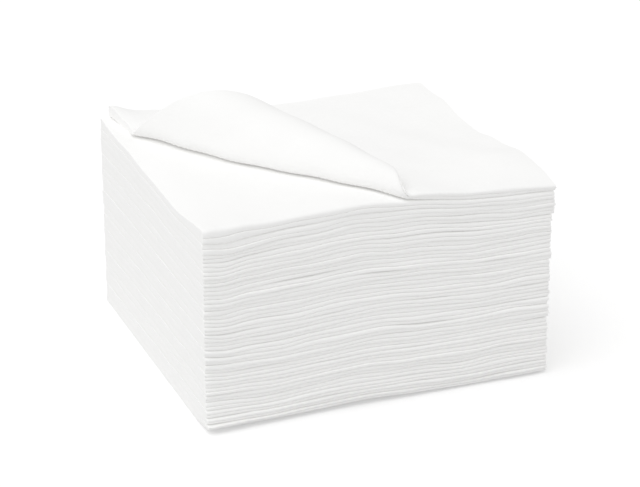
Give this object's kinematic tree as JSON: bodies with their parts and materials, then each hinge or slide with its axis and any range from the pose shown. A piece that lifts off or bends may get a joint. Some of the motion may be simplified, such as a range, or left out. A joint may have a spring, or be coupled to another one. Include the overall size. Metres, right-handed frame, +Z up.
{
  "type": "stack of folded paper napkins",
  "caption": "Squared stack of quarter-folded white paper napkins, folds to the front and side, with the near corner of the top napkin turned back in an open arch.",
  "frame": {"origin": "centre of the stack's footprint, on the surface that it stands on", "axes": "+Z up through the stack; spines, the second folds, face -X; first folds face -Y; cut edges face +X and +Y"},
  "size_m": [0.1259, 0.1158, 0.0915],
  "materials": {
    "napkin_paper": "matte"
  },
  "bodies": {
    "root": {"napkin_01": "napkin_paper", "napkin_02": "napkin_paper", "napkin_03": "napkin_paper", "napkin_04": "napkin_paper", "napkin_05": "napkin_paper", "napkin_06": "napkin_paper", "napkin_07": "napkin_paper", "napkin_08": "napkin_paper", "napkin_09": "napkin_paper", "napkin_10": "napkin_paper", "napkin_11": "napkin_paper", "napkin_12": "napkin_paper", "napkin_13": "napkin_paper", "napkin_14": "napkin_paper", "napkin_15": "napkin_paper", "napkin_16": "napkin_paper", "napkin_17": "napkin_paper", "napkin_18": "napkin_paper", "napkin_19": "napkin_paper", "napkin_20": "napkin_paper", "napkin_21": "napkin_paper", "napkin_22": "napkin_paper", "napkin_23": "napkin_paper", "napkin_24": "napkin_paper", "napkin_25": "napkin_paper", "napkin_26": "napkin_paper"}
  },
  "joints": []
}
